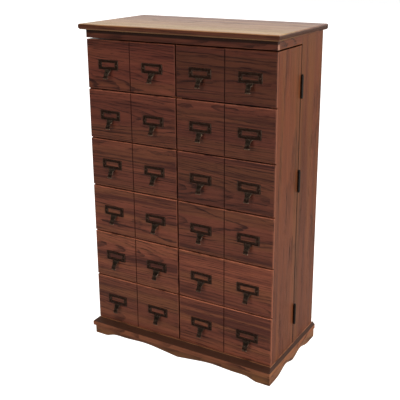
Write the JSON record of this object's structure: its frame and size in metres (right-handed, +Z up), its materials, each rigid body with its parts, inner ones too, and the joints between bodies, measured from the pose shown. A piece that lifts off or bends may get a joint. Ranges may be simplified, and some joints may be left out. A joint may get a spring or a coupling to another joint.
{
  "type": "card catalog cabinet",
  "caption": "Tall oak cabinet whose two deep hinged doors look like rows of small card-catalog drawers, each with a bronze label pull, on a scalloped base.",
  "frame": {"origin": "on the floor, under the middle of the bounding box", "axes": "+Z up, front of the cabinet towards -Y, +X to the right when facing the front from outside"},
  "size_m": [0.638, 0.337, 0.9945],
  "materials": {
    "drawer_front_oak": "dark red-brown stain with satin lacquer",
    "case_oak": "red-brown stain with satin lacquer",
    "top_oak": "red-brown stain with satin lacquer",
    "inside_oak": "thin stain, flat",
    "hardboard": "dark stained hardboard",
    "aged_bronze": "antique bronze finish, rubbed on the edges",
    "hinge_black": "blackened steel",
    "plated_steel": "zinc plated",
    "catch_plastic": "brown moulded plastic"
  },
  "bodies": {
    "cabinet": {"back_panel": "hardboard", "back_panel_screws": "plated_steel", "base_back_rail": "inside_oak", "base_deck": "case_oak", "body_hinge_leaves": "hinge_black", "body_hinge_screws": "hinge_black", "body_shelf_pins": "plated_steel", "body_shelves": "inside_oak", "body_top_panel": "case_oak", "corner_blocks": "inside_oak", "front_apron": "case_oak", "front_moulding": "case_oak", "header_rail": "case_oak", "header_return_left": "case_oak", "header_return_right": "case_oak", "left_apron": "case_oak", "left_moulding": "case_oak", "magnetic_catches": "catch_plastic", "right_apron": "case_oak", "right_moulding": "case_oak", "side_panel_left": "case_oak", "side_panel_right": "case_oak", "top_board": "top_oak"},
    "left_door": {"left_door_backing": "hardboard", "left_door_outer_side": "case_oak", "left_door_inner_side": "case_oak", "left_door_top": "case_oak", "left_door_bottom": "case_oak", "left_door_shelves": "inside_oak", "left_door_hinge_leaves": "hinge_black", "left_door_hinge_pins": "hinge_black", "left_door_hinge_screws": "hinge_black", "left_door_label_pulls": "aged_bronze", "left_door_pull_screws": "aged_bronze", "left_door_strike_plate": "plated_steel", "left_door_face_board_1": "drawer_front_oak", "left_door_face_board_2": "drawer_front_oak", "left_door_face_board_3": "drawer_front_oak", "left_door_face_board_4": "drawer_front_oak", "left_door_face_board_5": "drawer_front_oak", "left_door_face_board_6": "drawer_front_oak"},
    "right_door": {"right_door_backing": "hardboard", "right_door_outer_side": "case_oak", "right_door_inner_side": "case_oak", "right_door_top": "case_oak", "right_door_bottom": "case_oak", "right_door_shelves": "inside_oak", "right_door_hinge_leaves": "hinge_black", "right_door_hinge_pins": "hinge_black", "right_door_hinge_screws": "hinge_black", "right_door_label_pulls": "aged_bronze", "right_door_pull_screws": "aged_bronze", "right_door_strike_plate": "plated_steel", "right_door_face_board_1": "drawer_front_oak", "right_door_face_board_2": "drawer_front_oak", "right_door_face_board_3": "drawer_front_oak", "right_door_face_board_4": "drawer_front_oak", "right_door_face_board_5": "drawer_front_oak", "right_door_face_board_6": "drawer_front_oak"}
  },
  "joints": [
    {"name": "left_door_hinge", "type": "hinge", "parent": "cabinet", "child": "left_door", "pos_m": [-0.3099, 0.0105, 0.5], "axis": [0, 0, -1], "range_deg": [0, 180]},
    {"name": "right_door_hinge", "type": "hinge", "parent": "cabinet", "child": "right_door", "pos_m": [0.3099, 0.0105, 0.5], "axis": [0, 0, 1], "range_deg": [0, 180]}
  ]
}
